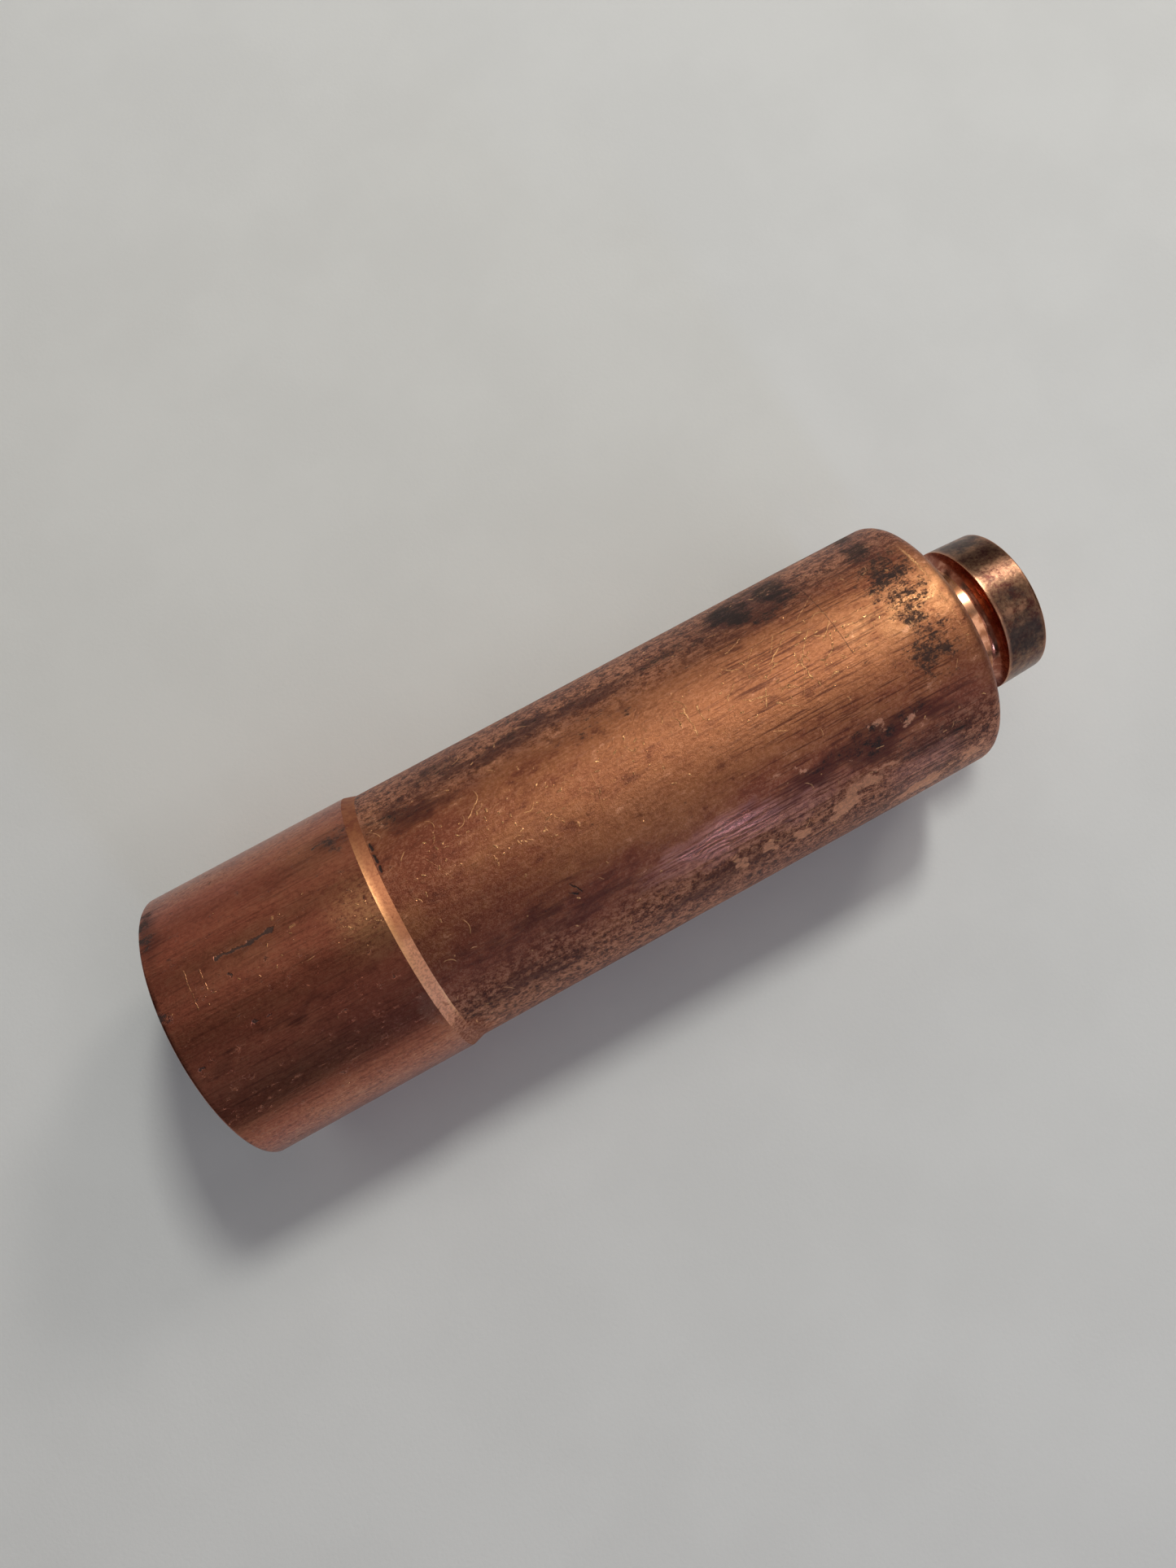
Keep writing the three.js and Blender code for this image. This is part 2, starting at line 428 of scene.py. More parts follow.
class Shader:
    """One metal's or paper's material, with short ways to add nodes to it. Its lengths are in
    millimetres. The girth is the distance round the barrel from the top, towards +Y."""

    def __init__(self, name):
        self.material = bpy.data.materials.new(name)
        self.material.use_nodes = True
        self.tree = self.material.node_tree
        self.surface = self.tree.nodes["Principled BSDF"]
        where = self.node("ShaderNodeTexCoord").outputs["Object"]
        self.place = self.scaled(where, (1 / MM, 1 / MM, 1 / MM))
        x, y, z = self.split(self.place)
        self.station = x - MOUTH_X / MM
        self.girth = self.math("ARCTAN2", y, z - AXIS_Z / MM) * BARREL_RADIUS

    def node(self, kind, **settings):
        node = self.tree.nodes.new(kind)
        for setting, value in settings.items():
            setattr(node, setting, value)
        return node

    def feed(self, socket, value):
        """Links a signal or an output to a socket, or sets the socket to a plain value."""
        if isinstance(value, Signal):
            value = value.socket
        if isinstance(value, bpy.types.NodeSocket):
            self.tree.links.new(value, socket)
        else:
            socket.default_value = value

    def math(self, operation, *values):
        node = self.node("ShaderNodeMath", operation=operation)
        for socket, value in zip(node.inputs, values):
            self.feed(socket, value)
        return Signal(self, node.outputs["Value"])

    def vector_math(self, operation, *values, output="Vector"):
        node = self.node("ShaderNodeVectorMath", operation=operation)
        for socket, value in zip(node.inputs, values):
            self.feed(socket, value)
        return node.outputs[output]

    def scaled(self, vector, factors):
        return self.vector_math("MULTIPLY", vector, factors)

    def split(self, vector):
        node = self.node("ShaderNodeSeparateXYZ")
        self.feed(node.inputs["Vector"], vector)
        return [Signal(self, output) for output in node.outputs]

    def joined(self, x, y):
        node = self.node("ShaderNodeCombineXYZ")
        self.feed(node.inputs["X"], x)
        self.feed(node.inputs["Y"], y)
        return node.outputs["Vector"]

    def attribute(self, name):
        return Signal(self, self.node("ShaderNodeAttribute", attribute_name=name).outputs["Fac"])

    def noise(self, size, stretch=1.0, detail=4.0, roughness=0.55):
        """Noise from about 0.25 to 0.75 in lumps of a size, drawn out along the axis by stretch."""
        node = self.node("ShaderNodeTexNoise")
        factors = (1 / size / stretch, 1 / size, 1 / size)
        self.feed(node.inputs["Vector"], self.scaled(self.place, factors))
        node.inputs["Scale"].default_value = 1.0
        node.inputs["Detail"].default_value = detail
        node.inputs["Roughness"].default_value = roughness
        return Signal(self, node.outputs["Fac"])

    def covered(self, name, ragged, edge=0.3):
        """1 on the share of the surface that an attribute gives, in the shapes of a noise."""
        cover = self.attribute(name) * SHARE_WEIGHT + ragged * NOISE_WEIGHT
        level = (SHARE_WEIGHT + NOISE_WEIGHT) / 2
        return cover.ramp(level - edge, level + edge)

    def cells(self, size, shift):
        """One random spot in each cell: how far off it is along and across the axis, and three
        random numbers that are its own."""
        spot = self.joined((self.station + shift) / size, (self.girth + shift * 3) / size)
        cells = self.node("ShaderNodeTexVoronoi", voronoi_dimensions="2D", feature="F1")
        cells.inputs["Scale"].default_value = 1.0
        self.feed(cells.inputs["Vector"], spot)
        along, across, _ = self.split(self.vector_math("SUBTRACT", spot, cells.outputs["Position"]))
        colour = self.node("ShaderNodeSeparateColor")
        self.feed(colour.inputs["Color"], cells.outputs["Color"])
        numbers = [Signal(self, output) for output in colour.outputs]
        return [along * size, across * size] + numbers

    def strokes(self, cell, length, width, share, curve=0.0, shift=0.0):
        """Short random strokes, at most one in each cell: 1 on a stroke and 0 off it."""
        along, across, turn, chance, spread = self.cells(cell, shift)
        cos = self.math("COSINE", turn * (2 * math.pi))
        sin = self.math("SINE", turn * (2 * math.pi))
        forward = along * cos + across * sin
        sideways = across * cos - along * sin + forward * forward * (turn - 0.5) * curve
        reach = (forward.size() - length * spread).ramp(0.0, -0.3 * length)
        thin = sideways.size().ramp(width, 0.4 * width)
        return reach * thin * (share - chance).ramp(0.0, 0.01)

    def spots(self, cell, radius, share, ragged, shift=0.0):
        """Small round islands with ragged edges, at most one in each cell."""
        along, across, _, chance, spread = self.cells(cell, shift)
        gap = self.math("SQRT", along * along + across * across)
        reach = spread * (radius * 0.6) + radius * 0.5 + (ragged - 0.5) * (radius * 4.0)
        return (reach - gap).ramp(0.0, 0.12) * (share - chance).ramp(0.0, 0.01)

    def marks(self, places, wobble):
        """Marks put in one by one: (station, angle) of both ends, and half the width."""
        shift = self.noise(1.2, detail=3, roughness=0.7) - 0.5
        spot = self.joined(self.station + shift * wobble, self.girth + shift * (wobble * 1.6))
        total = None
        for station, angle, to_station, to_angle, width in places:
            start = Vector((station, math.radians(angle) * BARREL_RADIUS, 0))
            run = Vector((to_station, math.radians(to_angle) * BARREL_RADIUS, 0)) - start
            offset = self.vector_math("SUBTRACT", spot, start)
            along = self.vector_math("DOT_PRODUCT", offset, run / run.length_squared, output="Value")
            along = self.clamped(along)
            nearest = self.node("ShaderNodeVectorMath", operation="SCALE")
            nearest.inputs[0].default_value = run
            self.feed(nearest.inputs["Scale"], along)
            gap = Signal(self, self.vector_math("DISTANCE", offset, nearest.outputs[0], output="Value"))
            mark = gap.ramp(width, 0.35 * width)
            total = mark if total is None else total.most(mark)
        return total

    def clamped(self, value):
        """A value kept between 0 and 1."""
        node = self.node("ShaderNodeClamp")
        self.feed(node.inputs["Value"], value)
        return node.outputs["Result"]

    def mix(self, first, second, amount):
        """One colour blended into another."""
        node = self.node("ShaderNodeMix", data_type="RGBA")
        self.feed(node.inputs["Factor"], amount)
        self.feed(node.inputs["A"], first)
        self.feed(node.inputs["B"], second)
        return node.outputs["Result"]

    def finish(self, colour, roughness, metallic, height=None, depth=0.01):
        """Sets the surface. height is in parts of depth, which is in millimetres."""
        self.feed(self.surface.inputs["Base Color"], colour)
        self.feed(self.surface.inputs["Roughness"], roughness)
        self.feed(self.surface.inputs["Metallic"], metallic)
        if height is not None:
            bump_node = self.node("ShaderNodeBump")
            bump_node.inputs["Distance"].default_value = depth * MM
            self.feed(bump_node.inputs["Height"], height)
            self.feed(self.surface.inputs["Normal"], bump_node.outputs["Normal"])
        return self.material


def rgb(red, green, blue):
    return (red, green, blue, 1.0)


# ---------------------------------------------------------------------------------------------
# Materials
# ---------------------------------------------------------------------------------------------

GOLDEN = rgb(0.475, 0.177, 0.08)
RUSSET = rgb(0.31, 0.092, 0.052)
TAN = rgb(0.66, 0.30, 0.18)
BRICK = rgb(0.45, 0.130, 0.078)
BRICK_GOLD = rgb(0.57, 0.225, 0.12)
PURPLE_BROWN = rgb(0.105, 0.034, 0.027)
BLACK_BROWN = rgb(0.022, 0.018, 0.018)
BRIGHT_GOLD = rgb(0.95, 0.49, 0.21)
BRONZE = rgb(0.27, 0.145, 0.085)
BARE_COPPER = rgb(0.88, 0.42, 0.24)
PINK_COPPER = rgb(0.52, 0.22, 0.14)
# A painted highlight colour: the pink of the low window's reflection on the ripples.
PINK_HIGHLIGHT_PAINT = rgb(0.82, 0.36, 0.30)
DIM_PAPER = rgb(0.90, 0.88, 0.865)
PALE_PAPER = rgb(0.93, 0.91, 0.895)

BARREL_SCRATCHES = [
    (69.0, 17, 68.9, 5, 0.10), (70.4, 14, 70.6, 9, 0.09), (83.8, 16, 84.0, 3, 0.09),
    (86.5, 28, 90.0, 36, 0.07), (78.0, 20, 80.0, 26, 0.08), (80.5, 16, 84.0, 24, 0.08),
    (77.6, 2, 78.6, 8, 0.10), (79.0, 1, 81.0, -4, 0.09), (31.8, 17, 32.6, 20, 0.09),
    (40.8, 19, 42.6, 24, 0.09), (84.2, 12, 87.0, 22, 0.07), (100.6, -17, 99.8, -21, 0.07),
    (75.5, 24, 77.5, 20, 0.09), (77.0, 30, 79.5, 33, 0.08), (79.0, 12, 81.5, 15, 0.09),
    (81.5, 20, 83.0, 27, 0.08), (82.8, 10, 85.5, 13, 0.09), (85.0, 24, 87.5, 20, 0.08),
    (75.6, 8, 78.5, 5, 0.09), (74.2, 12, 75.8, 16, 0.09), (80.0, 6, 82.2, 2, 0.08),
    (87.5, 14, 89.5, 20, 0.08), (86.0, 6, 88.2, 10, 0.09), (90.5, 16, 93.0, 14, 0.08),
    (49.8, 4, 50.4, 1, 0.10), (48.2, 2, 48.3, 0, 0.12), (44.7, 2, 44.8, 0, 0.12),
    (41.4, 1, 41.6, -2, 0.12), (60.8, 15, 61.6, 11, 0.10), (51.7, -3, 51.8, -4, 0.13),
]
BARREL_DARK_LINES = [
    (89.7, 47, 89.7, 4, 0.07), (75.0, 27, 92.0, 26, 0.06), (72.0, 33, 88.0, 34, 0.06),
    (80.0, 22, 89.0, 22, 0.05),
]
BARREL_DARK_PITS = [
    (47.6, -22, 48.4, -27, 0.12), (47.0, -25, 47.9, -27, 0.10),
    (29.2, 30, 29.3, 27, 0.25), (29.2, 25, 29.3, 21, 0.22), (29.3, 19, 29.3, 17, 0.20),
]
SOCKET_SCRATCHES = [
    (4.5, 19, 4.5, 3, 0.07), (6.2, 16, 6.3, 8, 0.05), (22.9, 5, 23.8, 2, 0.12),
    (25.4, 3, 26.9, 0, 0.14), (15.9, 20, 15.9, 21, 0.20), (17.4, 14, 17.9, 14, 0.22),
    (17.6, 0, 18.4, 0, 0.10), (6.6, 6, 7.0, 6, 0.08),
]
SOCKET_DARK_LINES = [
    (8.4, 17.4, 11.6, 16.6, 0.30), (11.6, 16.6, 12.8, 15.8, 0.42), (12.8, 16.2, 15.4, 16.6, 0.30),
    (8.9, 8.6, 9.3, 8.4, 0.2), (9.0, -10.6, 9.6, -10.8, 0.17), (10.9, -10.6, 11.2, -11, 0.15),
    (1.5, -16, 2.0, -16, 0.22), (22.8, 41, 23.6, 41, 0.25),
]


class BarrelShader(Shader):
    """The barrel's copper, with the noises that its colour, gloss and bumps share."""

    def __init__(self):
        super().__init__("barrel_copper")
        self.broad = self.noise(7.0, stretch=2.2, detail=3)
        self.mottle = self.noise(2.2, stretch=1.5, detail=8, roughness=0.74)
        self.grit = self.noise(0.36, stretch=1.3, detail=4, roughness=0.8)
        self.lines = self.noise(0.3, stretch=26, detail=4, roughness=0.7)
        self.ragged = self.noise(1.2, stretch=1.3, detail=8, roughness=0.85)
        self.streaks = self.noise(1.1, stretch=5.0, detail=8, roughness=0.8)
        self.grains = self.noise(0.75, stretch=1.2, detail=7, roughness=0.9)
        self.rough = (self.attribute("grain") - PLAIN_GRAIN) / (1 - PLAIN_GRAIN)
        self.lined = self.attribute("lined")
        self.ripple_and_pink_highlight = self.attribute("ripple_and_pink_highlight")

    def patina(self):
        """Russet to golden brown, flecked all over, and coarse-grained on both sides. The golden
        attribute makes the top lighter, partly as a painted highlight.
        """
        # The golden attribute lightens the top towards the nose: partly patina, partly a painted
        # highlight.
        golden = self.attribute("golden") * 0.22 + self.broad * 0.5 + self.mottle * 0.5
        colour = self.mix(RUSSET, GOLDEN, golden.ramp(0.42, 0.66))
        dark = (self.mottle * 0.7 + self.streaks * 0.3).ramp(0.47, 0.36)
        colour = self.mix(colour, PURPLE_BROWN, dark * 0.55)
        fleck = self.grit * 0.8 + self.mottle * 0.2
        colour = self.mix(colour, TAN, fleck.ramp(0.51, 0.57) * 0.28)
        colour = self.mix(colour, PURPLE_BROWN, fleck.ramp(0.495, 0.44) * 0.2)
        colour = self.mix(colour, TAN, self.grains.ramp(0.51, 0.54) * self.rough * 0.95)
        colour = self.mix(colour, PURPLE_BROWN, self.grains.ramp(0.49, 0.455) * self.rough)
        colour = self.mix(colour, BLACK_BROWN, self.grains.ramp(0.45, 0.40) * self.rough * 0.6)
        return self.mix(colour, PURPLE_BROWN, self.lines.ramp(0.49, 0.38) * self.lined * 0.75)

    def tarnish(self):
        """The share of dark tarnish. It also settles in the long lines towards the shoulder."""
        settled = self.attribute("tarnish") * self.lined * self.lines.ramp(0.53, 0.45)
        return self.covered("tarnish", self.streaks * 0.75 + self.grit * 0.25, 0.5).most(settled)

    def worn(self):
        """The share that is rubbed bare, in patches and small islands."""
        islands = self.spots(2.4, 0.55, self.attribute("worn") * 0.9, self.mottle, shift=5.0)
        return self.covered("worn", self.mottle, 0.15).most(islands)

    def soot(self, pits):
        """The share of black, in flakes, pits and thin lines."""
        flakes = self.ragged * 0.55 + self.streaks * 0.35 + self.grains * 0.8 - 0.35
        soot = (self.covered("soot", flakes, 0.22) * 0.95).most(pits)
        return soot.most(self.marks(BARREL_DARK_LINES, 0.15) * 0.6)

    def scratches(self):
        """The share of bright scratches, random and placed, and of the shoulder's bright edges, which
        are worn and painted brighter along the top as a highlight.
        """
        nicked = self.attribute("nicked")
        nicks = self.strokes(1.1, 0.40, 0.12, nicked * 0.45, curve=0.8)
        curls = self.strokes(2.6, 1.3, 0.08, nicked * 0.8, curve=1.5, shift=7.0)
        hairlines = self.strokes(7.0, 3.4, 0.045, nicked, curve=0.1, shift=2.0)
        bright = nicks * 0.95 + curls * 0.65 + hairlines * 0.3
        bright = bright.most(self.marks(BARREL_SCRATCHES, 0.8) * 0.6) * self.grit.ramp(0.36, 0.54)
        return bright.most((self.attribute("edge") + self.grit - 0.5).ramp(0.3, 0.9) * 0.8)

    def waves(self):
        """Fine wavy ridges along the axis, from -1 to 1."""
        return self.math("SINE", (self.girth + self.broad * 7.0 + self.streaks * 1.2) * 9.0)

    def height(self, bright, pits, waves):
        """The bumps, which are softer where the surface is rippled."""
        bumps = self.grit + self.grains * (self.rough * 2.0 + 0.5)
        bumps = bumps + self.mottle * 1.1 + self.streaks * 0.5
        height = bumps * (1 - self.ripple_and_pink_highlight * 0.4) + (waves * 0.1 + self.lines * 0.6) * self.ripple_and_pink_highlight
        return height + self.lines * self.lined * 0.6 + bright * 0.6 - pits * 0.8


def barrel_material():
    """Copper under years of mottled patina, with soot, tarnish, worn spots and bright nicks, and with
    painted highlights: golden along the top, bright gold near the shoulder and pink on the ripples.
    """
    shader = BarrelShader()
    grit, ripple_and_pink_highlight = shader.grit, shader.ripple_and_pink_highlight
    tarnish = shader.tarnish()
    colour = shader.mix(shader.patina(), PURPLE_BROWN, tarnish * 0.8)
    bare = shader.mix(TAN, BARE_COPPER, grit.ramp(0.42, 0.6))
    colour = shader.mix(colour, bare, shader.worn() * 0.8)
    pits = shader.marks(BARREL_DARK_PITS, 0.5)
    soot = shader.soot(pits)
    colour = shader.mix(colour, BLACK_BROWN, soot * 0.9)
    crust = shader.covered("crust", shader.ragged)
    colour = shader.mix(colour, shader.mix(RUSSET, TAN, grit.ramp(0.45, 0.6)), crust * 0.8)

    # A painted highlight: the rubbed spot is painted bright gold, besides being made smoother.
    rubbed_and_highlight = shader.attribute("rubbed_and_highlight") * shader.mottle.ramp(0.35, 0.6)
    bright = shader.scratches().most(rubbed_and_highlight * (1 - soot) * 0.35)
    colour = shader.mix(colour, BRIGHT_GOLD, bright)
    waves = shader.waves()
    # A painted pink highlight on the ripples, where the low window is reflected.
    colour = shader.mix(colour, PINK_HIGHLIGHT_PAINT, ripple_and_pink_highlight * shader.lines.ramp(0.42, 0.55) * 0.6)
    colour = shader.mix(colour, PURPLE_BROWN, ripple_and_pink_highlight * waves.ramp(0.1, -0.8) * 0.55)

    roughness = 0.43 + tarnish * 0.02 + soot * 0.3 + crust * 0.2
    roughness = roughness - bright * 0.22 - rubbed_and_highlight * 0.1 - ripple_and_pink_highlight * 0.26
    height = shader.height(bright, pits, waves)
    return shader.finish(colour, roughness, 1 - soot * 0.5, height, depth=0.06)


def socket_material():
    """Smoother red-brown copper, with faint streaks along the axis and a few black pits, and a golden
    tint along the top next to the step that is partly a painted highlight.
    """
    shader = Shader("socket_copper")
    broad = shader.noise(8.0, stretch=2.0, detail=3)
    mottle = shader.noise(2.0, stretch=1.8, detail=8, roughness=0.76)
    lines = shader.noise(0.4, stretch=18, detail=4, roughness=0.7)
    grit = shader.noise(0.42, stretch=1.2, detail=4, roughness=0.75)
    ragged = shader.noise(1.1, stretch=1.5, detail=6, roughness=0.85)
    grain = shader.attribute("grain")
    # The golden attribute lightens the top next to the step, partly as a painted highlight.
    golden = shader.attribute("golden") * 0.2 + broad + mottle * 0.5
    colour = shader.mix(BRICK, BRICK_GOLD, golden.ramp(0.60, 1.15))
    fleck = grit * 0.7 + mottle * 0.3
    colour = shader.mix(colour, TAN, fleck.ramp(0.51, 0.60) * (grain * 0.6 + 0.2))
    colour = shader.mix(colour, PURPLE_BROWN, fleck.ramp(0.49, 0.41) * (grain * 0.3 + 0.3))
    colour = shader.mix(colour, PURPLE_BROWN, lines.ramp(0.5, 0.36) * 0.35)
    tarnish = shader.covered("tarnish", mottle * 0.15 + lines * 0.85, 0.9)
    colour = shader.mix(colour, PURPLE_BROWN, tarnish * 0.8)
    # A painted highlight: bright gold along the top next to the step.
    cast_and_highlight = shader.attribute("golden") * grit.ramp(0.35, 0.6)
    colour = shader.mix(colour, BRIGHT_GOLD, cast_and_highlight * 0.4)
    residue = shader.covered("residue", ragged, 0.4)
    colour = shader.mix(colour, PINK_COPPER, residue * 0.5)

    pits = shader.covered("soot", ragged).most(shader.marks(SOCKET_DARK_LINES, 0.9))
    colour = shader.mix(colour, BLACK_BROWN, pits * 0.85)
    nicked = shader.attribute("nicked")
    nicks = shader.strokes(0.9, 0.25, 0.07, nicked * 0.35, shift=3.0)
    scratches = shader.strokes(4.0, 1.6, 0.05, nicked * 0.5, curve=0.3, shift=9.0)
    hairlines = shader.strokes(7.0, 3.4, 0.035, nicked, curve=0.1, shift=4.0)
    placed = shader.marks(SOCKET_SCRATCHES, 0.3) * grit.ramp(0.38, 0.55)
    bright = (nicks * 0.75 + scratches * 0.4 + hairlines * 0.2).most(placed * 0.55)
    colour = shader.mix(colour, BRIGHT_GOLD, bright)
    height = mottle * 0.9 + lines * 0.5 + grit * (grain * 0.5 + 0.45) + bright * 0.5 - pits * 1.2
    roughness = 0.28 + pits * 0.3 + tarnish * 0.05 - bright * 0.05
    return shader.finish(colour, roughness, 1 - pits * 0.7, height, depth=0.05)


def step_material():
    """The bright filler at the step, with crusted flux at the bottom of its visible side. Its lower
    side is painted lighter pink copper and its top darker golden, following how the light falls on it.
    """
    shader = Shader("step_filler")
    mottle = shader.noise(1.2, detail=5, roughness=0.65)
    grit = shader.noise(0.3, detail=3)
    ragged = shader.noise(0.8, detail=6, roughness=0.8)
    crust = shader.covered("crust", ragged, 0.08)
    dull = (shader.attribute("tarnish") + mottle * 0.4).ramp(0.3, 1.0)
    # Painted light: the top is painted darker golden and the lower side lighter pink copper, following
    # how the light falls.
    painted_gold_top = (shader.attribute("golden") + mottle - 0.5).ramp(0.2, 0.8)
    colour = shader.mix(BARE_COPPER, GOLDEN, painted_gold_top * 0.85)
    colour = shader.mix(colour, RUSSET, grit.ramp(0.55, 0.4) * 0.35)
    patina = shader.mix(RUSSET, GOLDEN, mottle.ramp(0.35, 0.65))
    colour = shader.mix(colour, patina, dull * 0.95)
    colour = shader.mix(colour, shader.mix(RUSSET, TAN, grit.ramp(0.4, 0.6)), crust * 0.8)
    # The bright left edge along the top is partly a painted highlight.
    edge = shader.attribute("edge") * mottle.ramp(0.25, 0.45)
    colour = shader.mix(colour, BRIGHT_GOLD, edge * (1 - dull) * 0.7)
    height = grit * 0.4 + mottle * 0.4 + crust * 0.8
    roughness = 0.58 + crust * 0.2 - edge * 0.2
    return shader.finish(colour, roughness, 1 - crust * 0.5, height, depth=0.04)


def neck_material():
    """Clean copper, polished by what it ran in, dulled a little inside."""
    shader = Shader("polished_copper")
    lines = shader.noise(5.0, stretch=0.03, detail=2)
    smear = shader.noise(2.0, detail=5, roughness=0.6)
    inside = shader.attribute("inside")
    colour = shader.mix(BARE_COPPER, GOLDEN, smear.ramp(0.38, 0.58) * 0.9)
    colour = shader.mix(colour, PURPLE_BROWN, inside * 0.75)
    height = lines * 0.6 + smear * 0.4
    roughness = 0.22 + smear.ramp(0.4, 0.7) * 0.12 + inside * 0.2
    return shader.finish(colour, roughness, 1.0, height, depth=0.006)


def filler_material():
    """Bright, smooth filler in the neck's two fillets."""
    shader = Shader("bright_filler")
    smear = shader.noise(1.2, detail=4)
    colour = shader.mix(PINK_COPPER, RUSSET, smear.ramp(0.36, 0.55))
    roughness = 0.20 + smear.ramp(0.4, 0.7) * 0.12
    return shader.finish(colour, roughness, 1.0, smear, depth=0.01)


def collar_material():
    """Copper under black and brown tarnish, worn bright at the edges."""
    shader = Shader("collar_copper")
    mottle = shader.noise(1.6, detail=6, roughness=0.7)
    grit = shader.noise(0.4, detail=4, roughness=0.7)
    ragged = shader.noise(1.4, detail=6, roughness=0.75)
    lines = shader.noise(5.0, stretch=0.04, detail=2)
    colour = shader.mix(PURPLE_BROWN, BRONZE, (mottle * 0.7 + grit * 0.3).ramp(0.36, 0.62))
    soot = shader.covered("soot", ragged, 0.8)
    colour = shader.mix(colour, BLACK_BROWN, soot * 0.75)
    worn = shader.covered("worn", mottle, 0.5)
    colour = shader.mix(colour, TAN, worn * 0.3)
    edge = shader.attribute("edge")
    colour = shader.mix(colour, BARE_COPPER, edge)
    height = grit * 0.5 + mottle * 0.6 + lines * 0.3
    roughness = 0.3 + soot * 0.12 - edge * 0.1
    return shader.finish(colour, roughness, 1 - soot * 0.4, height, depth=0.03)


def paper_material():
    """Pale matt paper with a fine tooth."""
    shader = Shader("pale_paper")
    tooth = shader.noise(0.6, detail=4)
    cloudy = shader.noise(25.0, detail=4)
    colour = shader.mix(DIM_PAPER, PALE_PAPER, cloudy.ramp(0.35, 0.65))
    return shader.finish(colour, 0.85, 0.0, tooth, depth=0.03)


# ---------------------------------------------------------------------------------------------
# Pieces
# ---------------------------------------------------------------------------------------------

def attach(piece, node):
    """Hides a CAD node, and hangs the piece that stands in its place from the root body."""
    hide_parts(node)
    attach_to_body(piece, "root")


SOCKET_SOOT = [(26.0, 41, 2.4, 8, 0.5), (0.6, 8, 1.6, 5, 0.7), (0.4, 45, 1.4, 20, 0.5)]
SOCKET_TARNISH = [
    (16.0, -13.5, 13, 3, 0.6), (4.0, -19, 5, 3, 0.5), (25.0, 41, 4, 9, 0.7), (1.0, 42, 2.5, 25, 0.8),
    (12.0, -32, 18, 16, 0.35), (20.0, 34, 8, 8, 0.3),
]
SOCKET_NICKS = [(25.0, 4, 5, 12, 1.0), (10.0, 8, 10, 14, 0.4), (18.0, 4, 6, 10, 0.5)]
RESIDUE_PLACES = [(27.4, -40, 2.2, 16, 0.8), (27.6, -62, 2.6, 16, 0.6)]


def socket_wear_and_highlight(station, degrees, outward):
    """What is on the socket: streaks, stains at its edges, nicks, pink residue, coarse grain on its
    sides, and a golden cast along the top next to the step that is partly a painted highlight."""
    wander = Wander(station, degrees)
    inside = np.clip(-2 * outward, 0, 1)
    rim = np.clip(1 - station / 0.5, 0, 1) * (0.6 + 0.8 * cloud(station, degrees, 3.0, seed=23.0))
    rough = np.clip((np.abs(degrees) - 48) / 14, 0, 1)
    hidden = scattered(31, 9, 2, 26, 4, 6, 0.7)
    return {
        "soot": wander.patches(SOCKET_SOOT + hidden) * (1 - inside),
        "tarnish": np.maximum.reduce([wander.patches(SOCKET_TARNISH), inside, rim]),
        "nicked": 0.04 + wander.patches(SOCKET_NICKS),
        "residue": wander.patches(RESIDUE_PLACES),
        # golden: along the top next to the step, partly a painted highlight.
        "golden": bump(station, 26, 6) * bump(degrees, 6, 24),
        "grain": rough,
    }


def add_socket():
    corners = [
        (0, SOCKET_BORE_RADIUS, 0.25), (0, SOCKET_RADIUS, 0.3),
        (STEP_START, SOCKET_RADIUS, 0), (STEP_START, SOCKET_BORE_RADIUS, 0.1),
    ]
    piece = turned_piece("mouth_socket_metal", corners, socket_material(), body_relief, socket_wear_and_highlight)
    attach(piece, "mouth_socket")


def step_wear_and_painted_light(station, degrees, outward):
    """The filler is clean on top, dull towards the sides and crusted low down. Its darker golden top
    and lighter lower side are painted light, and its bright left edge along the top is worn and
    partly a painted highlight.
    """
    # The left edge is bright along the top: worn, and partly a painted highlight.
    left = bump(station, STEP_START + 0.15, 0.4) * bump(degrees, 0, 50)
    right = bump(station, BARREL_START, 0.3) * bump(degrees, -42, 16)
    return {
        "crust": Wander(station, degrees).patches(
            [(28.2, -66, 4, 22, 1.0), (28.2, -50, 1.6, 9, 0.7), (28.2, 150, 4, 40, 0.6)]),
        # golden: the top, painted darker golden against the lighter lower side, following how the light
        # falls.
        "golden": shade(degrees, -22, 4),
        "tarnish": np.clip((np.abs(degrees + 9) - 38) / 16, 0, 1),
        "edge": left + right,
    }


def add_step_filler():
    corners = [
        (STEP_START, SOCKET_BORE_RADIUS, 0), (STEP_START, SOCKET_RADIUS, 0),
        (BARREL_START, BARREL_RADIUS, 0), (BARREL_START, SOCKET_BORE_RADIUS, 0),
    ]
    piece = turned_piece("step_braze_metal", corners, step_material(), body_relief, step_wear_and_painted_light)
    attach(piece, "socket_braze_ring")


def add_barrel():
    wall_inside = SHOULDER_FACE - END_WALL
    corners = [
        (SPIGOT_END, BARREL_BORE_RADIUS, 0.2), (SPIGOT_END, SPIGOT_RADIUS, 0.2),
        (BARREL_START, SPIGOT_RADIUS, 0), (BARREL_START, BARREL_RADIUS, 0),
        (SHOULDER_FACE - TAPER_LENGTH, BARREL_RADIUS, 0),
        (SHOULDER_FACE, BARREL_RADIUS - SHOULDER_TAPER, SHOULDER_ROUNDING),
        (SHOULDER_FACE, NECK_RADIUS, 0), (wall_inside, NECK_RADIUS, 0),
        (wall_inside, BARREL_BORE_RADIUS, INNER_ROUNDING),
    ]
    piece = turned_piece("barrel_metal", corners, barrel_material(), body_relief, body_wear_and_highlights)
    attach(piece, "barrel_shell")


def bore_wear(station, degrees, outward):
    """Where the neck's bore is."""
    return {"inside": np.clip(-2 * outward, 0, 1)}


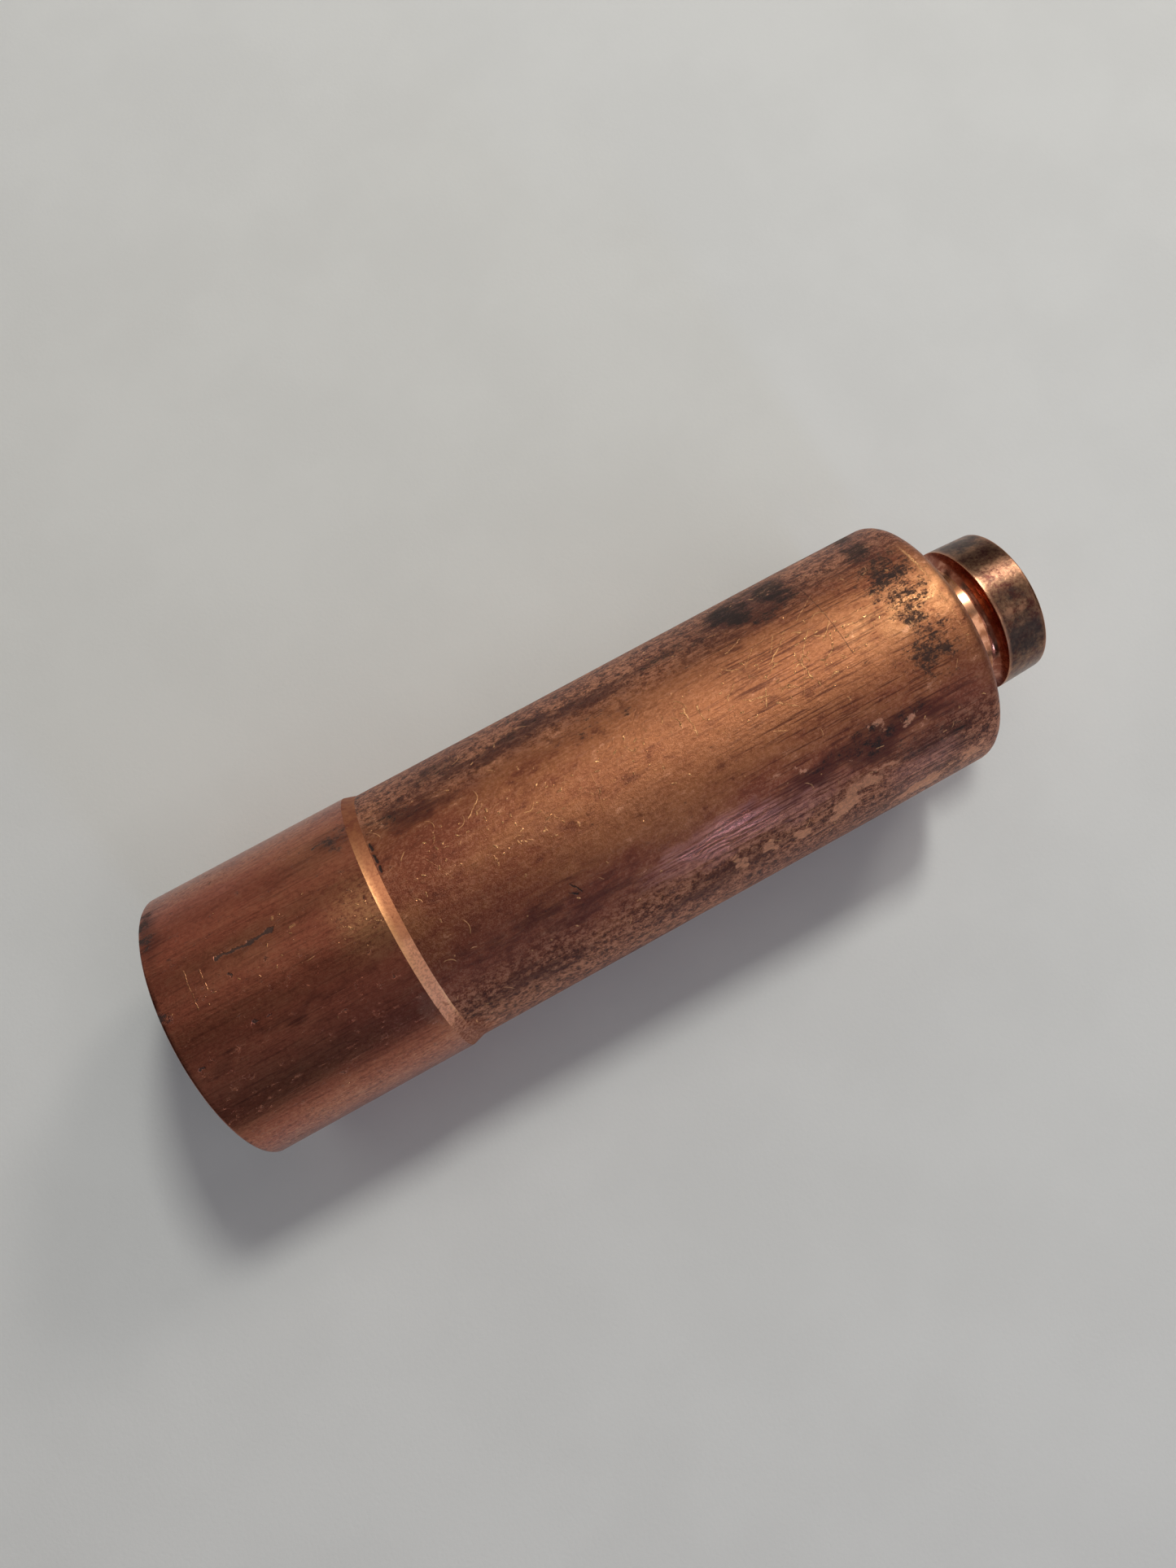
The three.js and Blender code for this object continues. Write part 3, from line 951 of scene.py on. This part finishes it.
def add_neck():
    flange_face = SHOULDER_FACE - END_WALL
    corners = [
        (FLANGE_START, NECK_BORE_RADIUS, 0.3), (FLANGE_START, FLANGE_RADIUS, 0.2),
        (flange_face, FLANGE_RADIUS, 0.2), (flange_face, NECK_RADIUS, 0),
        (LENGTH, NECK_RADIUS, 0.1), (LENGTH, NECK_BORE_RADIUS, 0.3),
    ]
    piece = turned_piece("neck_metal", corners, neck_material(), None, bore_wear)
    attach(piece, "neck_tube")


def fillet_corners(foot, tip, low, high):
    """An outline with a hollow face, from low at the tip up to high at the foot."""
    hollow = []
    for step in range(FILLET_STEPS + 1):
        angle = math.pi / 2 * step / FILLET_STEPS
        station = tip + (foot - tip) * math.sin(angle)
        hollow.append((station, high - (high - low) * math.cos(angle), 0))
    outline = [(tip, low - FILLER_THICKNESS, 0)] + hollow + [(foot, low - FILLER_THICKNESS, 0)]
    return outline if foot > tip else outline[::-1]


def add_fillets():
    bright = filler_material()
    tip = SHOULDER_FACE + NECK_FILLET
    corners = fillet_corners(SHOULDER_FACE, tip, NECK_RADIUS, NECK_RADIUS + NECK_FILLET)
    attach(turned_piece("neck_braze_metal", corners, bright), "neck_braze_ring")
    high = COLLAR_RADIUS - COLLAR_FILLER_DROP
    corners = fillet_corners(COLLAR_START, FILLET_START, NECK_RADIUS, high)
    attach(turned_piece("collar_braze_metal", corners, bright), "collar_braze_ring")


COLLAR_SOOT = [(112.8, -38, 6, 24, 0.9), (113.0, 60, 5, 24, 0.7), (113.0, 180, 6, 90, 0.8),
               (112.0, -8, 3, 8, 0.5)]
COLLAR_WORN = [(113.6, 14, 3.5, 10, 0.6), (112.6, -17, 3, 6, 0.6), (114, 78, 3, 12, 0.4)]


def collar_wear(station, degrees, outward):
    """The collar is sooty on both sides, and rubbed along the top and at its edges."""
    wander = Wander(station, degrees)
    nose_edge = np.clip(1 - (LENGTH - station) / 0.4, 0, 1)
    return {
        "soot": wander.patches(COLLAR_SOOT),
        "worn": wander.patches(COLLAR_WORN),
        "edge": (nose_edge + 0.7 * bump(station, COLLAR_START, 0.3)) * 0.8,
    }


def add_collar():
    corners = [
        (COLLAR_START, NECK_RADIUS, 0), (COLLAR_START, COLLAR_RADIUS, 0.12),
        (LENGTH, COLLAR_RADIUS - COLLAR_TAPER, 0.3), (LENGTH, NECK_RADIUS, 0),
    ]
    piece = turned_piece("nose_collar_metal", corners, collar_material(), None, collar_wear)
    attach(piece, "nose_collar")


# ---------------------------------------------------------------------------------------------
# Floor, lights and camera, in metres and degrees
# ---------------------------------------------------------------------------------------------

FLOOR_HALF = 1.5
AIM = Vector((-0.0023, 0.0046, AXIS_Z))
VIEW_DISTANCE = 0.1379
VIEW_AZIMUTH = -28.6
VIEW_ELEVATION = 82.3
LENS = 23.9
NEAR_CLIP = 0.01
ROOM_LIGHT = 0.014
BACKDROP = 0.42
ROOM_COLOUR = rgb(1.0, 0.94, 0.94)


def add_floor():
    corners = [(-FLOOR_HALF, -FLOOR_HALF, 0), (FLOOR_HALF, -FLOOR_HALF, 0),
               (FLOOR_HALF, FLOOR_HALF, 0), (-FLOOR_HALF, FLOOR_HALF, 0)]
    mesh = bpy.data.meshes.new("paper_floor")
    mesh.from_pydata(corners, [], [(0, 1, 2, 3)])
    mesh.materials.append(paper_material())
    floor = bpy.data.objects.new("paper_floor", mesh)
    bpy.context.scene.collection.objects.link(floor)


def facing(direction, up):
    """The rotation that points an object's -Z along a direction, with up above it."""
    back = -direction.normalized()
    right = up.cross(back).normalized()
    return Matrix((right, back.cross(right), back)).transposed().to_quaternion()


def add_softbox(name, towards, distance, width, height, radiance, colour):
    """A rectangular lamp, in that direction from the sleeve and facing it. Its width lies as near
    as it can along X. The radiance is how bright its face looks."""
    lamp = bpy.data.lights.new(name, "AREA")
    lamp.shape = "RECTANGLE"
    lamp.size, lamp.size_y = width, height
    lamp.energy = radiance * math.pi * width * height
    lamp.color = colour
    towards = Vector(towards).normalized()
    light = bpy.data.objects.new(name, lamp)
    light.location = AIM + towards * distance
    light.rotation_mode = "QUATERNION"
    light.rotation_quaternion = facing(-towards, Vector((0, 1, 0)))
    bpy.context.scene.collection.objects.link(light)


def add_lights():
    warm = (1.0, 0.965, 0.91)
    sunny = (0.96, 1.0, 0.94)
    plain = (1.0, 0.99, 0.99)
    cool = (0.88, 0.90, 1.0)
    blue = (0.50, 0.65, 1.0)
    add_softbox("ceiling_left", (-0.22, 0.34, 0.91), 1.0, 0.42, 0.60, 0.56, warm)
    add_softbox("ceiling_right", (0.62, 0.30, 0.72), 1.0, 0.42, 0.60, 0.72, warm)
    add_softbox("key_softbox", (0.42, 0.42, 0.80), 0.9, 0.13, 0.13, 47.0, sunny)
    add_softbox("nose_panel", (0.74, 0.36, 0.56), 1.1, 0.20, 0.20, 12.0, warm)
    add_softbox("fill_left", (-0.25, -0.36, 0.90), 1.0, 0.50, 0.50, 0.22, plain)
    add_softbox("fill_right", (0.42, -0.36, 0.84), 1.0, 0.52, 0.50, 0.95, plain)
    add_softbox("dim_corner", (-0.30, -0.72, 0.62), 1.0, 0.70, 0.60, 0.18, cool)
    add_softbox("side_softbox", (-0.1, 0.9, 0.42), 1.1, 1.5, 0.6, 0.43, warm)
    add_softbox("window", (0.45, -0.76, 0.457), 1.0, 0.5, 0.45, 0.90, cool)
    add_softbox("low_window", (0.143, -0.949, 0.281), 0.9, 0.08, 0.10, 30.0, blue)


def add_world():
    """A dim room, which looks like a pale backdrop where the camera sees past the floor."""
    world = bpy.data.worlds.new("studio")
    world.use_nodes = True
    nodes, links = world.node_tree.nodes, world.node_tree.links
    strength = nodes.new("ShaderNodeMapRange")
    strength.inputs["To Min"].default_value = ROOM_LIGHT
    strength.inputs["To Max"].default_value = BACKDROP
    links.new(nodes.new("ShaderNodeLightPath").outputs["Is Camera Ray"], strength.inputs["Value"])
    background = nodes["Background"]
    background.inputs["Color"].default_value = ROOM_COLOUR
    links.new(strength.outputs["Result"], background.inputs["Strength"])
    bpy.context.scene.world = world


def add_camera():
    azimuth, elevation = math.radians(VIEW_AZIMUTH), math.radians(VIEW_ELEVATION)
    level = math.cos(elevation)
    forward = Vector((-math.sin(azimuth) * level, math.cos(azimuth) * level, -math.sin(elevation)))
    lens = bpy.data.cameras.new("camera")
    lens.lens = LENS
    lens.clip_start = NEAR_CLIP
    camera = bpy.data.objects.new("camera", lens)
    camera.location = AIM - forward * VIEW_DISTANCE
    camera.rotation_mode = "QUATERNION"
    camera.rotation_quaternion = facing(forward, Vector((0, 0, 1)))
    bpy.context.scene.collection.objects.link(camera)
    bpy.context.scene.camera = camera


add_socket()
add_step_filler()
add_barrel()
add_neck()
add_fillets()
add_collar()
add_floor()
add_lights()
add_world()
add_camera()
bpy.context.scene.view_settings.view_transform = "Standard"
